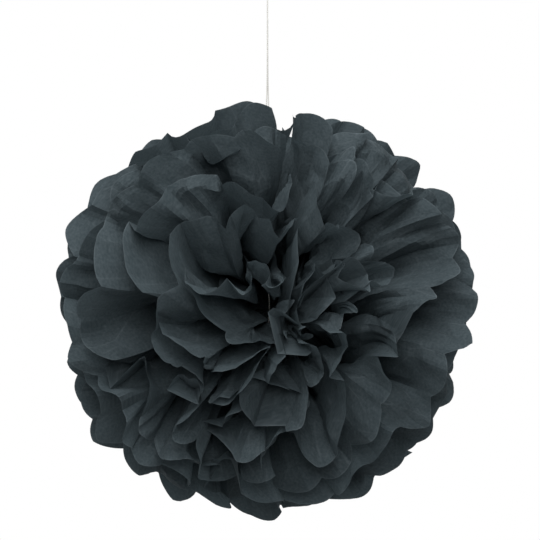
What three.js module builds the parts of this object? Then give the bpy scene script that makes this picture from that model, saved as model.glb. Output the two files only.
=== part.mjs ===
// A hanging tissue paper pom pom. A stack of sheets is pleated like an accordion, its ends are cut
// round, and a tie gathers it at the middle. Both sides are fanned out to a full circle, and the
// sheets are pulled apart, half of them towards each pole, until they fill a ball. A looped string
// from the tie hangs it up. Units are millimetres, +Z is up, and the origin is the inside of the
// string's loop, where a hook bears. The flower of the front face looks along -Y.
import * as THREE from "three";

const { clamp, degToRad, lerp, smoothstep } = THREE.MathUtils;

// Driving dimensions of one sheet
const REACH = 206; // from the tie to the tip of a petal, half the length of a sheet
const PANEL_WIDTH = 42; // between two folds of the accordion
const PANELS_PER_SIDE = 14; // folded panels on each side of the tie
const SCALLOP_DEPTH = 10; // how far the round end of a panel stands past its folds
const SCALLOP_POWER = 2.2; // a little fuller than a parabola
const SHEET_THICKNESS = 0.8; // of the solid, across the nest of sheets
const STACK_PITCH = 1.2; // between neighbouring sheets inside the tie

// Angles from the pole that the sheets of one face are pulled to, from the heart to the equator,
// and how far two opposite sides of each lean in over the pole, which closes the heart
const FACE_ANGLES = [18, 33, 46, 58, 70, 82].map(degToRad);
const FACE_LEANS = [14, 10, 6, 3, 1, 0].map(degToRad);
const LEAN_DIRECTION = degToRad(10);
const SHEETS = 2 * FACE_ANGLES.length;
const FOLDS_PER_SIDE = PANELS_PER_SIDE + 1;
const FOLDS = 2 * FOLDS_PER_SIDE;

// Gathering at the middle
const NECK_RADIUS = 12; // of the flat gathered middle of a sheet
const NECK_PANEL = 7; // width that the tie crushes a panel to
const CRUSH_RATE = 1.2; // how fast a panel recovers its width away from the neck
const SLIT_ANGLE = degToRad(5); // open between the two sides of a sheet
const NECK_SLIT_ANGLE = degToRad(40); // more of it beside the tie
const POLE_FLATTENING = 0.9; // the ball is a little shorter from pole to pole

// How far the ruffles stray from even pleats
const RANDOM_SEED = 7;
const SHORTEST_RUN = 3; // panels that climb the same way, one after another
const RUN_CHANCES = [0.3, 0.7]; // a run is one panel longer above the first, two above the second
const RUN_STEEPNESS = [0.6, 1.4];
const PANEL_STEEPNESS = [0.8, 1.2]; // of a panel, against its run
const FLIP_CHANCE = 0.1; // that a panel climbs against its run
const LEAST_SLOPE = 0.15;
const GREATEST_SLOPE = 400;
const SLOPE_HALVINGS = 40;
const MOST_STRETCH = 1.1; // of the outermost sheets, to meet at the slits
const MEANDER_WINDOW = 5; // folds on each side over which a ruffle is held near its own angle
const MEANDER_HOLD = 0.4;
const MAX_TWIST = degToRad(14);
const WAVE_HEIGHT = degToRad(4.5);
const TIP_CURL = degToRad(12);
const CURL_RANGE = [-0.3, 0.7];
const REACH_RANGE = [-0.06, 0.04]; // shorter and longer petals
const PLEAT_MEMORY = 0.3; // share of the even pleat that stays at the rim

// Where the changes from the neck to the rim begin and end, as shares of the reach
const RUFFLES = [0.5, 1.0];
const OPENING = [0.03, 0.65];
const NECK_SLIT = [0.05, 0.35];
const TWISTING = [0.5, 1.04];
const CURLING = [0.7, 1.05];
const LOOSENING = [0.05, 0.3];
const DRIFTING = [0.25, 0.9];

// Room kept between neighbouring sheets, and round the string
const NEST_GAP = 4.5;
const NEST_ANGLE = degToRad(0.8);
const STRING_CLEARANCE = 5;
const POLE_MARGIN = degToRad(2);
const SETTLING_ROUNDS = 160;
const SHARES_BETWEEN = [0.08, 0.2, 0.33, 0.47, 0.62, 0.8]; // settled as well, between two rings
const STRING_BEGINS = 0.2; // share of the reach beyond which the string needs room
const STRING_SEARCHES = 15;

// Slow drift of the whole nest round the ball: heights, turns and starts of its waves
const SWIRL = degToRad(18); // round each pole
const SWIRL_SPREAD = 0.2;
const SWAY_ACROSS = { height: 0.11, y: 2.6, z: 0.8, start: -0.8 };
const SWAY_UP = { height: 0.11, x: 2.8, z: -0.7, start: 0.7 };
const NOD = { height: 0.06, x: 2.9, startX: 1, y: 2.5, startY: 0.4 };

// Attitude of the front face, as it hangs
const POLE_YAW = degToRad(7); // to the right
const POLE_DROOP = degToRad(5); // downwards

// Tie and string
const TIE_RADIUS = 0.6;
const TIE_HALF_WIDTH = 1.5 * NECK_RADIUS;
const TIE_HALF_DEPTH = (SHEETS * STACK_PITCH) / 2 + 8;
const TIE_SIDES = 28;
const STRING_RADIUS = 0.6;
const STRING_SIDES = 8;
const HANGING_DROP = 335; // from the hook down to the middle of the ball
const KNOT_HEIGHT = 307; // above the middle of the ball
const KNOT_RING = 2.3;
const KNOT_RADIUS = 0.95;
const KNOT_STRETCH = [0.82, 1, 1.5];
const KNOT_SIDES = [10, 16];

// Finishes
const TISSUE = new THREE.MeshStandardMaterial({ color: 0x3a4043, roughness: 0.92, metalness: 0 });
const THREAD = new THREE.MeshStandardMaterial({ color: 0xe4e3dc, roughness: 0.85, metalness: 0 });

// Rings on which the folds are worked out, as shares of the reach: the neck, three on the way, and
// one just outside, which the longest petals touch
const RINGS = [NECK_RADIUS / REACH, 0.21, 0.42, 0.68, 1.04];
const OUTER = RINGS.length - 1;
const TIP_STEPS = [0.3, 0.7]; // places across a panel where its round end has a corner

// Rises smoothly from 0 to 1 over a range.
function ramp(s, [from, to]) {
  return smoothstep(s, from, to);
}

// A value in a range, from a random number.
function pick([low, high], chance) {
  return lerp(low, high, chance);
}

// Repeatable random numbers from 0 to 1.
function makeRandom(seed) {
  let state = seed;
  return () => {
    state = (state * 16807) % 2147483647;
    return state / 2147483647;
  };
}

// How steeply the panels of one side run up and down the nest, in runs of three to five panels. All
// the sheets share the runs, because they were folded together.
function drawRuns(random) {
  const steps = [];
  let direction = random() > 0.5 ? 1 : -1;
  while (steps.length < PANELS_PER_SIDE) {
    const chance = random();
    const run = SHORTEST_RUN + RUN_CHANCES.filter((limit) => chance >= limit).length;
    const steepness = pick(RUN_STEEPNESS, random());
    for (let i = 0; i < run; i++) steps.push({ direction, steepness });
    direction = -direction;
  }
  return steps.slice(0, PANELS_PER_SIDE);
}

// Everything about a sheet that is left to chance when it is pulled open by hand.
function drawSheet(random) {
  const sides = SHARED_RUNS.map((steps) =>
    steps.map(({ direction, steepness }) => ({
      direction: random() < FLIP_CHANCE ? -direction : direction,
      steepness: steepness * pick(PANEL_STEEPNESS, random()),
    })),
  );
  const twist = (2 * random() - 1) * MAX_TWIST;
  const waves = [1, 2, 3].map((count) => {
    const height = WAVE_HEIGHT * random();
    return { count, height, phase: 2 * Math.PI * random() };
  });
  const notches = Array.from({ length: FOLDS }, () => {
    return (1 - SCALLOP_DEPTH / REACH) * (1 + pick(REACH_RANGE, random()));
  });
  const curl = Array.from({ length: FOLDS }, () => pick(CURL_RANGE, random()));
  return { sides, twist, waves, notches, curl };
}

const random = makeRandom(RANDOM_SEED);
const SHARED_RUNS = [drawRuns(random), drawRuns(random)];
const SHEET_PLANS = Array.from({ length: SHEETS }, () => drawSheet(random));

// Angle from the front pole that a sheet is pulled to.
function pulledAngle(sheet) {
  return sheet < FACE_ANGLES.length ? FACE_ANGLES[sheet] : Math.PI - FACE_ANGLES[SHEETS - 1 - sheet];
}

// How far a sheet leans in over its pole.
function leanAngle(sheet) {
  return FACE_LEANS[sheet] ?? FACE_LEANS[SHEETS - 1 - sheet];
}

// The slope that makes the pleated panels of a side fill the span: each panel keeps its width.
function pleatSlope(steepness, width, ring, span) {
  const covered = (slope) =>
    steepness.reduce((sum, c) => sum + width / Math.hypot(1, slope * c) / ring, 0);
  if (covered(LEAST_SLOPE) <= span) return LEAST_SLOPE;
  let [low, high] = [LEAST_SLOPE, GREATEST_SLOPE];
  for (let i = 0; i < SLOPE_HALVINGS; i++) {
    const middle = (low + high) / 2;
    if (covered(middle) > span) low = middle;
    else high = middle;
  }
  return high;
}

// The running sum of the panels' climbs, held near zero so that a sheet stays at its own angle.
function meander(climbs) {
  const sums = [0];
  climbs.forEach((climb) => sums.push(sums.at(-1) + climb));
  const end = sums.at(-1);
  const level = sums.map((v, i) => v - (end * i) / PANELS_PER_SIDE);
  const mean = level.reduce((a, b) => a + b, 0) / level.length;
  const centred = level.map((v) => v - mean);
  return centred.map((v, i) => {
    let sum = 0;
    for (let j = i - MEANDER_WINDOW; j <= i + MEANDER_WINDOW; j++) {
      sum += centred[clamp(j, 0, PANELS_PER_SIDE)];
    }
    return v - (MEANDER_HOLD * sum) / (2 * MEANDER_WINDOW + 1);
  });
}

// The folds of one side of a sheet on the ring at share s: angle from the pole, azimuth, radius.
function foldSide(sheet, side, s) {
  const plan = SHEET_PLANS[sheet];
  const radius = REACH * s;
  const own = ramp(s, RUFFLES);
  const opened = ramp(s, OPENING);
  const angle = lerp(Math.PI / 2, pulledAngle(sheet), opened);
  const ring = radius * Math.sin(angle);
  const width = Math.min(PANEL_WIDTH, NECK_PANEL + CRUSH_RATE * (radius - NECK_RADIUS));
  const span = Math.PI - SLIT_ANGLE - NECK_SLIT_ANGLE * (1 - ramp(s, NECK_SLIT));

  const steepness = plan.sides[side].map((step) => lerp(1, step.steepness, own));
  const slope = pleatSlope(steepness, width, ring, span);
  const pleated = steepness.map((c) => width / Math.hypot(1, slope * c) / ring);
  const short = span / pleated.reduce((a, b) => a + b, 0);
  const arcs = pleated.map((arc) => arc * clamp(short, 1, MOST_STRETCH));
  const depths = steepness.map((c) => (width * Math.sin(Math.atan(slope * c))) / radius);
  const ruffle = meander(depths.map((depth, i) => depth * plan.sides[side][i].direction));

  const covered = arcs.reduce((a, b) => a + b, 0);
  let azimuth = Math.PI * side - covered / 2 + plan.twist * ramp(s, TWISTING);
  const facing = sheet < FACE_ANGLES.length ? 1 : -1;
  const folds = [];
  for (let i = 0; i < FOLDS_PER_SIDE; i++) {
    const fold = side * FOLDS_PER_SIDE + i;
    const before = depths[Math.max(i - 1, 0)];
    const after = depths[Math.min(i, PANELS_PER_SIDE - 1)];
    const pleat = ((i % 2 ? -1 : 1) * (before + after)) / 4;
    const wave = plan.waves.reduce((sum, w) => sum + w.height * Math.sin(w.count * azimuth + w.phase), 0);
    const lean = leanAngle(sheet) * Math.cos(azimuth - LEAN_DIRECTION) ** 2 * opened;
    const theta =
      angle -
      facing * lean +
      pleat * Math.sqrt(1 - (1 - PLEAT_MEMORY ** 2) * own ** 2) +
      ruffle[i] * own +
      wave * opened * Math.sin(angle) +
      facing * plan.curl[fold] * TIP_CURL * ramp(s, CURLING);
    folds.push({ theta: clamp(theta, POLE_MARGIN, Math.PI - POLE_MARGIN), phi: azimuth, radius });
    azimuth += arcs[i] ?? 0;
  }
  return folds;
}

// A place in the ball from its angle to the pole, its azimuth and its radius.
function toVector({ theta, phi, radius }) {
  return new THREE.Vector3().setFromSphericalCoords(radius, theta, phi);
}

// The place on the straight line between two places, which goes along when it pushes its ends.
function between(from, to, share) {
  const spherical = new THREE.Spherical().setFromVector3(toVector(from).lerp(toVector(to), share));
  const turn = spherical.theta - from.phi;
  const phi = from.phi + turn - 2 * Math.PI * Math.round(turn / (2 * Math.PI));
  return { theta: spherical.phi, phi, radius: spherical.radius, from, to, share };
}

// Moves a place away from or towards the pole, with the ends of the line it lies on.
function push(place, angle) {
  place.theta = clamp(place.theta + angle, POLE_MARGIN, Math.PI - POLE_MARGIN);
  if (!place.from) return;
  push(place.from, angle * (1 - place.share));
  push(place.to, angle * place.share);
}

// Where a sheet passes an azimuth on its ring: the places beside it, and the share between them.
function beside(places, phi) {
  const turn = 2 * Math.PI;
  const start = places[0].phi;
  const wrapped = phi - turn * Math.floor((phi - start) / turn);
  let i = 0;
  while (i < places.length - 1 && places[i + 1].phi <= wrapped) i++;
  const left = places[i];
  const right = places[(i + 1) % places.length];
  const toLeft = left.radius * Math.sin(left.theta) * Math.sin(wrapped - left.phi);
  const toRight = right.radius * Math.sin(right.theta) * Math.sin(right.phi - wrapped);
  const share = clamp(toLeft / (toLeft + toRight), 0, 1) || 0;
  const across = (place) => place.radius * Math.sin(place.theta) * Math.cos(place.phi - wrapped);
  const up = (place) => place.radius * Math.cos(place.theta);
  const theta = Math.atan2(
    lerp(across(left), across(right), share),
    lerp(up(left), up(right), share),
  );
  return { left, right, share, theta };
}

// Pushes two neighbours apart wherever a corner of one would pass through a panel of the other.
function partNeighbours(front, back, gap) {
  for (const [places, other, sign] of [[front, back, 1], [back, front, -1]]) {
    for (const place of places) {
      const { left, right, share, theta } = beside(other, place.phi);
      const overlap = sign * (place.theta - theta) + gap;
      if (overlap <= 0) continue;
      push(place, (-sign * overlap) / 2);
      push(left, (sign * overlap * (1 - share)) / 2);
      push(right, (sign * overlap * share) / 2);
    }
  }
}

// A gentle drift of the whole nest round the ball, which keeps every sheet clear of its neighbours.
function drift(point) {
  const length = point.length();
  const grip = ramp(length, DRIFTING);
  const nearPole = Math.exp(-(point.x ** 2 + point.y ** 2) / SWIRL_SPREAD);
  const swirl = SWIRL * nearPole * (point.z / length) * grip;
  const at = point.clone().applyAxisAngle(new THREE.Vector3(0, 0, 1), swirl);
  const { sin } = Math;
  at.x += SWAY_ACROSS.height * sin(SWAY_ACROSS.y * at.y + SWAY_ACROSS.z * at.z + SWAY_ACROSS.start) * grip;
  at.y += SWAY_UP.height * sin(SWAY_UP.x * at.x + SWAY_UP.z * at.z + SWAY_UP.start) * grip;
  at.z += NOD.height * sin(NOD.x * at.x + NOD.startX) * sin(NOD.y * at.y + NOD.startY) * grip;
  return at.setLength(length);
}

// A point of a sheet in the ball's own axes: x to the right, y up and z out of the front pole.
function ballPoint(sheet, theta, phi, radius) {
  const share = radius / REACH;
  const point = new THREE.Vector3(
    Math.sin(theta) * Math.cos(phi) * share,
    Math.sin(theta) * Math.sin(phi) * share,
    Math.cos(theta) * share * POLE_FLATTENING,
  );
  point.z += stackHeight(sheet) / REACH;
  return drift(point).multiplyScalar(REACH);
}

// Height of a sheet in the tied stack, above the ball's middle.
function stackHeight(sheet) {
  return ((SHEETS - 1) / 2 - sheet) * STACK_PITCH;
}

// Attitude of the ball's own axes.
const BALL_ATTITUDE = new THREE.Euler(Math.PI / 2 + POLE_DROOP, 0, POLE_YAW, "ZXY");

// The direction, before the drift, of the place where the vertical string crosses the ring at s.
function stringPlace(s) {
  const upright = new THREE.Quaternion().setFromEuler(BALL_ATTITUDE).invert();
  const target = new THREE.Vector3(0, 0, s).applyQuaternion(upright);
  const place = target.clone();
  for (let i = 0; i < STRING_SEARCHES; i++) place.add(target.clone().sub(drift(place)));
  place.z /= POLE_FLATTENING;
  return { theta: Math.acos(place.z / place.length()), phi: Math.atan2(place.y, place.x) };
}

// Keeps the middle pair of sheets on their own sides of the string.
function clearString(sheets, s) {
  const string = stringPlace(s);
  const room = STRING_CLEARANCE / (REACH * s);
  [[FACE_ANGLES.length - 1, 1], [FACE_ANGLES.length, -1]].forEach(([sheet, sign]) => {
    const { left, right, theta } = beside(sheets[sheet], string.phi);
    const overlap = sign * (theta - string.theta) + room;
    if (overlap <= 0) return;
    push(left, -sign * overlap);
    push(right, -sign * overlap);
  });
}

// Settles the sheets against each other on one ring.
function settle(sheets, s) {
  const gap = NEST_ANGLE + (NEST_GAP / (REACH * s)) * ramp(s, LOOSENING);
  for (let i = 0; i + 1 < SHEETS; i++) partNeighbours(sheets[i], sheets[i + 1], gap);
  if (s > STRING_BEGINS) clearString(sheets, s);
}

// The corners of a sheet on a ring between two others: on its folds, and on the line across each
// panel from a fold on the lower ring to the next fold on the upper ring.
function cutBetween(lower, upper, share) {
  const places = [];
  for (let fold = 0; fold < FOLDS; fold++) {
    places.push(between(lower[fold], upper[fold], share));
    if ((fold + 1) % FOLDS_PER_SIDE) places.push(between(lower[fold], upper[fold + 1], share));
  }
  return places;
}

// All the folds on the listed rings, sheet by sheet, settled there and on the way between.
function settledRings() {
  const rings = RINGS.map((s) =>
    SHEET_PLANS.map((_, sheet) => [...foldSide(sheet, 0, s), ...foldSide(sheet, 1, s)]),
  );
  for (let round = 0; round < SETTLING_ROUNDS; round++) {
    rings.forEach((lower, ring) => {
      settle(lower, RINGS[ring]);
      const upper = rings[ring + 1];
      if (!upper) return;
      for (const share of SHARES_BETWEEN) {
        const cuts = lower.map((folds, sheet) => cutBetween(folds, upper[sheet], share));
        settle(cuts, lerp(RINGS[ring], RINGS[ring + 1], share));
      }
    });
  }
  return rings;
}

const SETTLED_RINGS = settledRings();

// How far out a panel is cut, as a share of the way between the last two rings.
function cutShare(sheet, fold, across) {
  const { notches } = SHEET_PLANS[sheet];
  const notch = lerp(notches[fold], notches[Math.min(fold + 1, FOLDS - 1)], across);
  const s = notch + (SCALLOP_DEPTH / REACH) * (1 - Math.abs(2 * across - 1) ** SCALLOP_POWER);
  return (s - RINGS[OUTER - 1]) / (RINGS[OUTER] - RINGS[OUTER - 1]);
}

// A corner of the round end of a panel, on the flat from its left fold to its far right corner.
function tipPlace(sheet, fold, across) {
  const share = cutShare(sheet, fold, across);
  const lower = SETTLED_RINGS[OUTER - 1][sheet];
  const upper = SETTLED_RINGS[OUTER][sheet];
  const left = between(lower[fold], upper[fold], share);
  if (!across) return left;
  return between(left, between(lower[fold], upper[fold + 1], share), across / share);
}

// The places of all the points of a sheet: the centre of its gathered middle, the folds on the
// rings up to their notches, and the round ends.
function sheetPlaces(sheet) {
  const places = [{ theta: 0, phi: 0, radius: 0 }];
  for (let fold = 0; fold < FOLDS; fold++) {
    for (let ring = 0; ring < OUTER; ring++) places.push(SETTLED_RINGS[ring][sheet][fold]);
    places.push(tipPlace(sheet, fold, 0));
  }
  for (let side = 0; side < 2; side++) {
    for (let panel = 0; panel < PANELS_PER_SIDE; panel++) {
      const fold = side * FOLDS_PER_SIDE + panel;
      TIP_STEPS.forEach((across) => places.push(tipPlace(sheet, fold, across)));
    }
  }
  return places;
}

// The triangles of one face of a sheet, counter-clockwise as seen from the front pole.
function sheetTriangles() {
  const triangles = [];
  const point = (fold, ring) => 1 + (fold % FOLDS) * (OUTER + 1) + ring;
  const firstTip = 1 + FOLDS * (OUTER + 1);
  for (let fold = 0; fold < FOLDS; fold++) triangles.push([0, point(fold, 0), point(fold + 1, 0)]);
  for (let side = 0; side < 2; side++) {
    for (let panel = 0; panel < PANELS_PER_SIDE; panel++) {
      const fold = side * FOLDS_PER_SIDE + panel;
      for (let ring = 0; ring < OUTER - 1; ring++) {
        const [a, b] = [point(fold, ring), point(fold, ring + 1)];
        const [d, c] = [point(fold + 1, ring), point(fold + 1, ring + 1)];
        triangles.push([a, b, c], [a, c, d]);
      }
      const tip = firstTip + (side * PANELS_PER_SIDE + panel) * TIP_STEPS.length;
      const rim = [point(fold, OUTER), ...TIP_STEPS.map((_, i) => tip + i), point(fold + 1, OUTER)];
      const outline = [...rim, point(fold + 1, OUTER - 1)];
      const corner = point(fold, OUTER - 1);
      for (let i = 0; i + 1 < outline.length; i++) triangles.push([corner, outline[i], outline[i + 1]]);
    }
  }
  return triangles;
}

// Closes a front and a back face with the same triangles into one thin solid.
function thinSolid(front, back, triangles) {
  const open = new Map();
  for (const [a, b, c] of triangles) {
    for (const [from, to] of [[a, b], [b, c], [c, a]]) {
      if (!open.delete(`${to} ${from}`)) open.set(`${from} ${to}`, [from, to]);
    }
  }
  const index = triangles.flat();
  const offset = front.length;
  triangles.forEach(([a, b, c]) => index.push(offset + a, offset + c, offset + b));
  for (const [from, to] of open.values()) {
    index.push(to, from, offset + from, to, offset + from, offset + to);
  }
  const geometry = new THREE.BufferGeometry().setFromPoints([...front, ...back]);
  geometry.setIndex(index);
  geometry.computeVertexNormals();
  return geometry;
}

// One pleated sheet, both sides of the tie and its gathered middle in one piece.
function makeSheet(sheet) {
  const places = sheetPlaces(sheet);
  const face = (sign) =>
    places.map(({ theta, phi, radius }) => {
      if (radius > 0) {
        return ballPoint(sheet, theta + (sign * SHEET_THICKNESS) / 2 / radius, phi, radius);
      }
      return new THREE.Vector3(0, 0, stackHeight(sheet) - (sign * SHEET_THICKNESS) / 2);
    });
  const mesh = new THREE.Mesh(thinSolid(face(-1), face(1), sheetTriangles()), TISSUE);
  const name = sheet < FACE_ANGLES.length ? "front_sheet" : "back_sheet";
  const place = sheet < FACE_ANGLES.length ? sheet + 1 : SHEETS - sheet;
  mesh.name = `${name}_${place}`;
  return mesh;
}

// The thread tied round the gathered middle, through the slits above and below it.
function makeTie() {
  const ring = new THREE.TorusGeometry(TIE_HALF_WIDTH, TIE_RADIUS, STRING_SIDES, TIE_SIDES);
  ring.scale(1, TIE_HALF_DEPTH / TIE_HALF_WIDTH, 1);
  const mesh = new THREE.Mesh(ring, THREAD);
  mesh.rotation.set(0, Math.PI / 2, Math.PI / 2, "YZX");
  mesh.name = "centre_tie";
  return mesh;
}

// A path that goes straight from point to point, with its steps at the points themselves.
class PointPath extends THREE.Curve {
  constructor(points) {
    super();
    this.points = points;
  }
  getPoint(t, target = new THREE.Vector3()) {
    const at = t * (this.points.length - 1);
    const i = Math.min(Math.floor(at), this.points.length - 2);
    return target.lerpVectors(this.points[i], this.points[i + 1], at - i);
  }
  getPointAt(u, target) {
    return this.getPoint(u, target);
  }
  getTangentAt(u, target) {
    return this.getTangent(u, target);
  }
}

// Half of the string's route from the tie to the crown of its loop, in the ball's hanging frame:
// across, along the view, and up. The other half mirrors it.
const STRING_ROUTE = [
  [-1.4, -1.0, 20],
  [-1.5, -0.6, 60],
  [-1.6, -0.4, 120],
  [-1.6, -0.3, 175],
  [-1.1, -0.5, 197],
  [-0.5, -0.72, 216],
  [-0.2, -0.74, 235],
  [-0.1, -0.74, 270],
  [-0.1, -0.74, 305],
  [-0.5, -0.74, 313],
  [-2.4, -0.6, 318],
  [-5.2, -0.3, 324],
  [-6.2, -0.1, 329],
  [-5.0, 0, 333.2],
  [-2.7, 0, 335.1],
];
const LOOP_CROWN = [0, 0, HANGING_DROP + STRING_RADIUS];

// The string: up one strand, round the loop and down the other.
function makeString() {
  const up = STRING_ROUTE.map((p) => new THREE.Vector3(...p));
  const down = STRING_ROUTE.map(([x, y, z]) => new THREE.Vector3(-x, -y, z)).reverse();
  const path = new PointPath([...up, new THREE.Vector3(...LOOP_CROWN), ...down]);
  const section = new THREE.Shape();
  for (let i = 0; i < STRING_SIDES; i++) {
    const turn = (i / STRING_SIDES) * 2 * Math.PI;
    const [x, y] = [STRING_RADIUS * Math.cos(turn), STRING_RADIUS * Math.sin(turn)];
    if (i) section.lineTo(x, y);
    else section.moveTo(x, y);
  }
  const geometry = new THREE.ExtrudeGeometry(section, {
    steps: path.points.length - 1,
    extrudePath: path,
  });
  const mesh = new THREE.Mesh(geometry, THREAD);
  mesh.name = "hanging_string";
  return mesh;
}

// The knot that closes the loop, a wrap of thread round both strands.
function makeKnot() {
  const wrap = new THREE.TorusGeometry(KNOT_RING, KNOT_RADIUS, ...KNOT_SIDES);
  wrap.scale(...KNOT_STRETCH);
  const mesh = new THREE.Mesh(wrap, THREAD);
  mesh.position.z = KNOT_HEIGHT;
  mesh.name = "string_knot";
  return mesh;
}

const ball = new THREE.Group();
ball.rotation.copy(BALL_ATTITUDE);
for (let sheet = 0; sheet < SHEETS; sheet++) ball.add(makeSheet(sheet));
ball.add(makeTie());

const hung = new THREE.Group();
hung.position.z = -HANGING_DROP;
hung.add(ball, makeString(), makeKnot());

const pomPom = new THREE.Group();
pomPom.add(hung);

export default pomPom;
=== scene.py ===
"""Looks of the hanging tissue paper pom pom: fine creased sheets, string, knot and a plain studio."""
import math

import bpy
import numpy as np
from mathutils import Matrix, Vector, noise


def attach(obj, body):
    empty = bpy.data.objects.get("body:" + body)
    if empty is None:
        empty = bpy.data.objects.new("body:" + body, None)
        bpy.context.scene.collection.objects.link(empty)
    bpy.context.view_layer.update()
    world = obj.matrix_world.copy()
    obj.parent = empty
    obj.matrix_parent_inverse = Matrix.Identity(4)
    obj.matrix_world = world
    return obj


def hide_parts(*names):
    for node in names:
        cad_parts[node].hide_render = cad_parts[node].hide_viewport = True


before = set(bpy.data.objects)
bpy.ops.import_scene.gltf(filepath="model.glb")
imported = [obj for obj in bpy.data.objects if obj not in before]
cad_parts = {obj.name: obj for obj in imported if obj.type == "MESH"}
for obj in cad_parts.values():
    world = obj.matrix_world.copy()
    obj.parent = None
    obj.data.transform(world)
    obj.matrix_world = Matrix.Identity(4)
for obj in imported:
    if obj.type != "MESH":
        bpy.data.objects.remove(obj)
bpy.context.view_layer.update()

# Driving dimensions of one sheet, in metres
REACH = 0.206  # from the tie to the tip of a petal
PANEL_WIDTH = 0.042
PANELS_PER_SIDE = 14
FOLDS_PER_SIDE = PANELS_PER_SIDE + 1
FOLDS = 2 * FOLDS_PER_SIDE
SCALLOP_DEPTH = 0.010
SCALLOP_POWER = 2.2
STACK_PITCH = 0.0012
FLAT_SIZE = (PANELS_PER_SIDE * PANEL_WIDTH, 2 * REACH)

# Angles from the pole that the sheets of one face are pulled to, from the heart to the equator
FACE_ANGLES = np.radians([18, 33, 46, 58, 70, 82])
PULLED_ANGLES = np.concatenate([FACE_ANGLES, math.pi - FACE_ANGLES[::-1]])
FACE_SHEETS = len(FACE_ANGLES)
SHEETS = len(PULLED_ANGLES)

# How far two opposite sides of a sheet lean over the heart
FACE_LEANS = np.radians([14, 10, 6, 3, 1, 0])
HEART_LEANS = np.radians([7, 4, 2, 0, 0, 0])  # further lean on the front face
LEANS = np.concatenate([FACE_LEANS + HEART_LEANS, FACE_LEANS[::-1]])
LEAN_DIRECTION = math.radians(10)

# Gathering at the middle
NECK_RADIUS = 0.012
NECK_PANEL = 0.007
CRUSH_RATE = 1.2
SLIT_ANGLE = math.radians(5)
NECK_SLIT_ANGLE = math.radians(40)
POLE_FLATTENING = 0.9

# Repeatable random numbers
RANDOM_SEED = 7
RANDOM_FACTOR = 16807
RANDOM_MODULUS = 2147483647

# How far the ruffles stray from even pleats
FLIP_CHANCE = 0.1
SHORTEST_RUN = 3
RUN_CHANCES = (0.3, 0.7)  # a run of panels is one longer above the first, two longer above the second
RUN_STEEPNESS = (0.6, 1.4)
PANEL_STEEPNESS = (0.8, 1.2)
MEANDER_WINDOW = 5
MEANDER_HOLD = 0.4
MAX_TWIST = math.radians(14)
WAVE_COUNTS = (1, 2, 3)  # waves round the ball
WAVE_HEIGHT = math.radians(4.5)
TIP_CURL = math.radians(12)
CURL_RANGE = (-0.3, 0.7)
REACH_RANGE = (-0.06, 0.04)
PLEAT_MEMORY = 0.3

# Search for the slope of the pleats
LEAST_SLOPE = 0.15
GREATEST_SLOPE = 400
SLOPE_HALVINGS = 40
MOST_STRETCH = 1.1

# Where the changes from the neck to the rim begin and end, as shares of the reach
RUFFLES = (0.5, 1.0)
OPENING = (0.03, 0.65)
NECK_SLIT = (0.05, 0.35)
TWISTING = (0.5, 1.04)
CURLING = (0.7, 1.05)
LOOSENING = (0.05, 0.3)
DRIFTING = (0.25, 0.9)

# Room kept between neighbouring sheets, and round the string
NEST_GAP = 0.0045
NEST_ANGLE = math.radians(0.8)
STRING_CLEARANCE = 0.005
POLE_MARGIN = math.radians(2)
SETTLING_ROUNDS = 120
SETTLING_STEP = 0.35
SHARES_BETWEEN = (0.08, 0.2, 0.33, 0.47, 0.62, 0.8)
STRING_BEGINS = 0.2
STRING_SEARCHES = 15

# Closing of the slits between the two sides of a sheet
SLIT_LEFT = math.radians(0.4)
WIDEST_CLOSINGS = np.radians([0, 4])  # at the top, where the string comes out, and at the bottom
CLOSING_PANELS = 3
NECK_ENDS = 0.3

# Slow drift of the whole nest round the ball: waves in radians for each reach, with the phase last
SWIRL = math.radians(18)
SWIRL_SPREAD = 0.2
SWAY = 0.11
SWAY_ALONG_YZ = (2.6, 0.8, -0.8)
SWAY_ALONG_XZ = (2.8, -0.7, 0.7)
NOD = 0.06
NOD_ALONG_X = (2.9, 1.0)
NOD_ALONG_Y = (2.5, 0.4)

# Rings on which the folds are worked out, as shares of the reach
RINGS = (NECK_RADIUS / REACH, 0.21, 0.42, 0.68, 1.04)
OUTER = len(RINGS) - 1

# A cut between two rings has a corner on each fold and across each panel: their folds on both rings
HAS_PANEL = np.arange(1, FOLDS + 1) % FOLDS_PER_SIDE != 0
CUT_LOWER = np.repeat(np.arange(FOLDS), np.where(HAS_PANEL, 2, 1))
CUT_UPPER = CUT_LOWER + np.concatenate([[0], np.diff(CUT_LOWER) == 0]).astype(int)

# Attitude of the front face, and place of the ball under the hook at the origin
POLE_YAW = math.radians(7)
POLE_DROOP = math.radians(5)
HANGING_DROP = 0.335
ATTITUDE = Matrix.Rotation(POLE_YAW, 3, "Z") @ Matrix.Rotation(math.pi / 2 + POLE_DROOP, 3, "X")
BALL_CENTRE = Vector((0, 0, -HANGING_DROP))

# Fineness of the sheets
COLUMNS_PER_PANEL = 14
COLUMNS = PANELS_PER_SIDE * COLUMNS_PER_PANEL + 1
ROWS = 40
ROW_SPACING = 0.9  # below one, rows are closer together towards the rim

# Softness of the folds between panels, and curve of a fold from ring to ring
FOLD_SOFTNESS = (0.0, 0.4)
FOLD_CURVE = 0.6
FOLD_FREE = (0.2, 0.6)

# Petals: how far the rim of each strays from the even scallop
PETAL_SEEDS = (1000, 77)  # of the first sheet, and from sheet to sheet
PETAL_DEPTHS = (0.8, 1.8)
PETAL_POWERS = (2.3, 1.4)  # longer petals are more pointed
LONG_PETALS = 1.5  # the higher, the fewer

# Crisp creases down the petals, two in each, that leave three flat facets
CREASE_COLUMNS = ((3, 6), (8, 11))  # where they run, in columns of the panel
CREASE_HEIGHTS = (0.0045, 0.0055, 0.006, 0.006, 0.006, 0.006)  # from the heart to the equator
CREASE_FREE = (0.3, 0.8)
CREASE_ANGLE = math.radians(11)  # sharper edges than this are shaded as creases

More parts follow.
